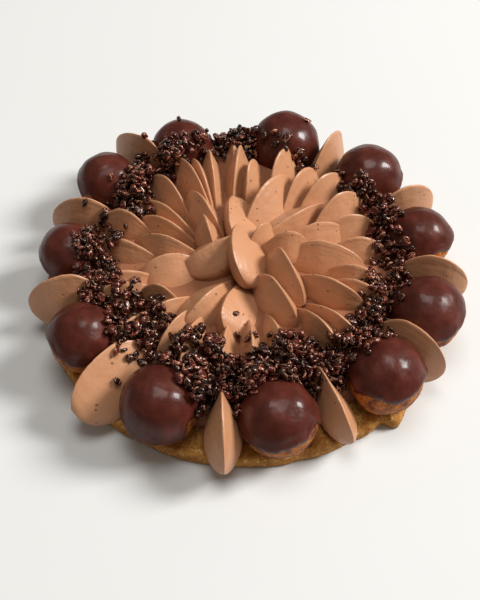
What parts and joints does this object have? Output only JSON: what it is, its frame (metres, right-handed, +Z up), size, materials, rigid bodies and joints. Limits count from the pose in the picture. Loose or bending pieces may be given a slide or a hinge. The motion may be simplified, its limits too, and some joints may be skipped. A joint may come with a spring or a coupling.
{
  "type": "saint honore cake",
  "caption": "Round saint honore cake: a baked pastry disc with a ring of glazed choux, piped chocolate cream petals between them and over the middle, and scattered cacao nibs.",
  "frame": {"origin": "centre of the pastry disc's underside", "axes": "+Z up, -Y towards the side that the picture shows at the front, +X to the right of it"},
  "size_m": [0.2586, 0.2569, 0.0529],
  "materials": {
    "baked_pastry": "matte, porous golden crumb",
    "choux_crust": "satin, lightly wrinkled crust",
    "chocolate_glaze": "soft gloss",
    "whipped_cream": "matte with small air pits"
  },
  "bodies": {
    "root": {"base": "baked_pastry", "puff_01": "choux_crust", "puff_02": "choux_crust", "puff_03": "choux_crust", "puff_04": "choux_crust", "puff_05": "choux_crust", "puff_06": "choux_crust", "puff_07": "choux_crust", "puff_08": "choux_crust", "puff_09": "choux_crust", "puff_10": "choux_crust", "puff_11": "choux_crust", "glaze_01": "chocolate_glaze", "glaze_02": "chocolate_glaze", "glaze_03": "chocolate_glaze", "glaze_04": "chocolate_glaze", "glaze_05": "chocolate_glaze", "glaze_06": "chocolate_glaze", "glaze_07": "chocolate_glaze", "glaze_08": "chocolate_glaze", "glaze_09": "chocolate_glaze", "glaze_10": "chocolate_glaze", "glaze_11": "chocolate_glaze", "petal_01": "whipped_cream", "petal_02": "whipped_cream", "petal_03": "whipped_cream", "petal_04": "whipped_cream", "petal_05": "whipped_cream", "petal_06": "whipped_cream", "petal_07": "whipped_cream", "petal_08": "whipped_cream", "petal_09": "whipped_cream", "petal_10": "whipped_cream", "petal_11": "whipped_cream", "rosette": "whipped_cream"}
  },
  "joints": []
}
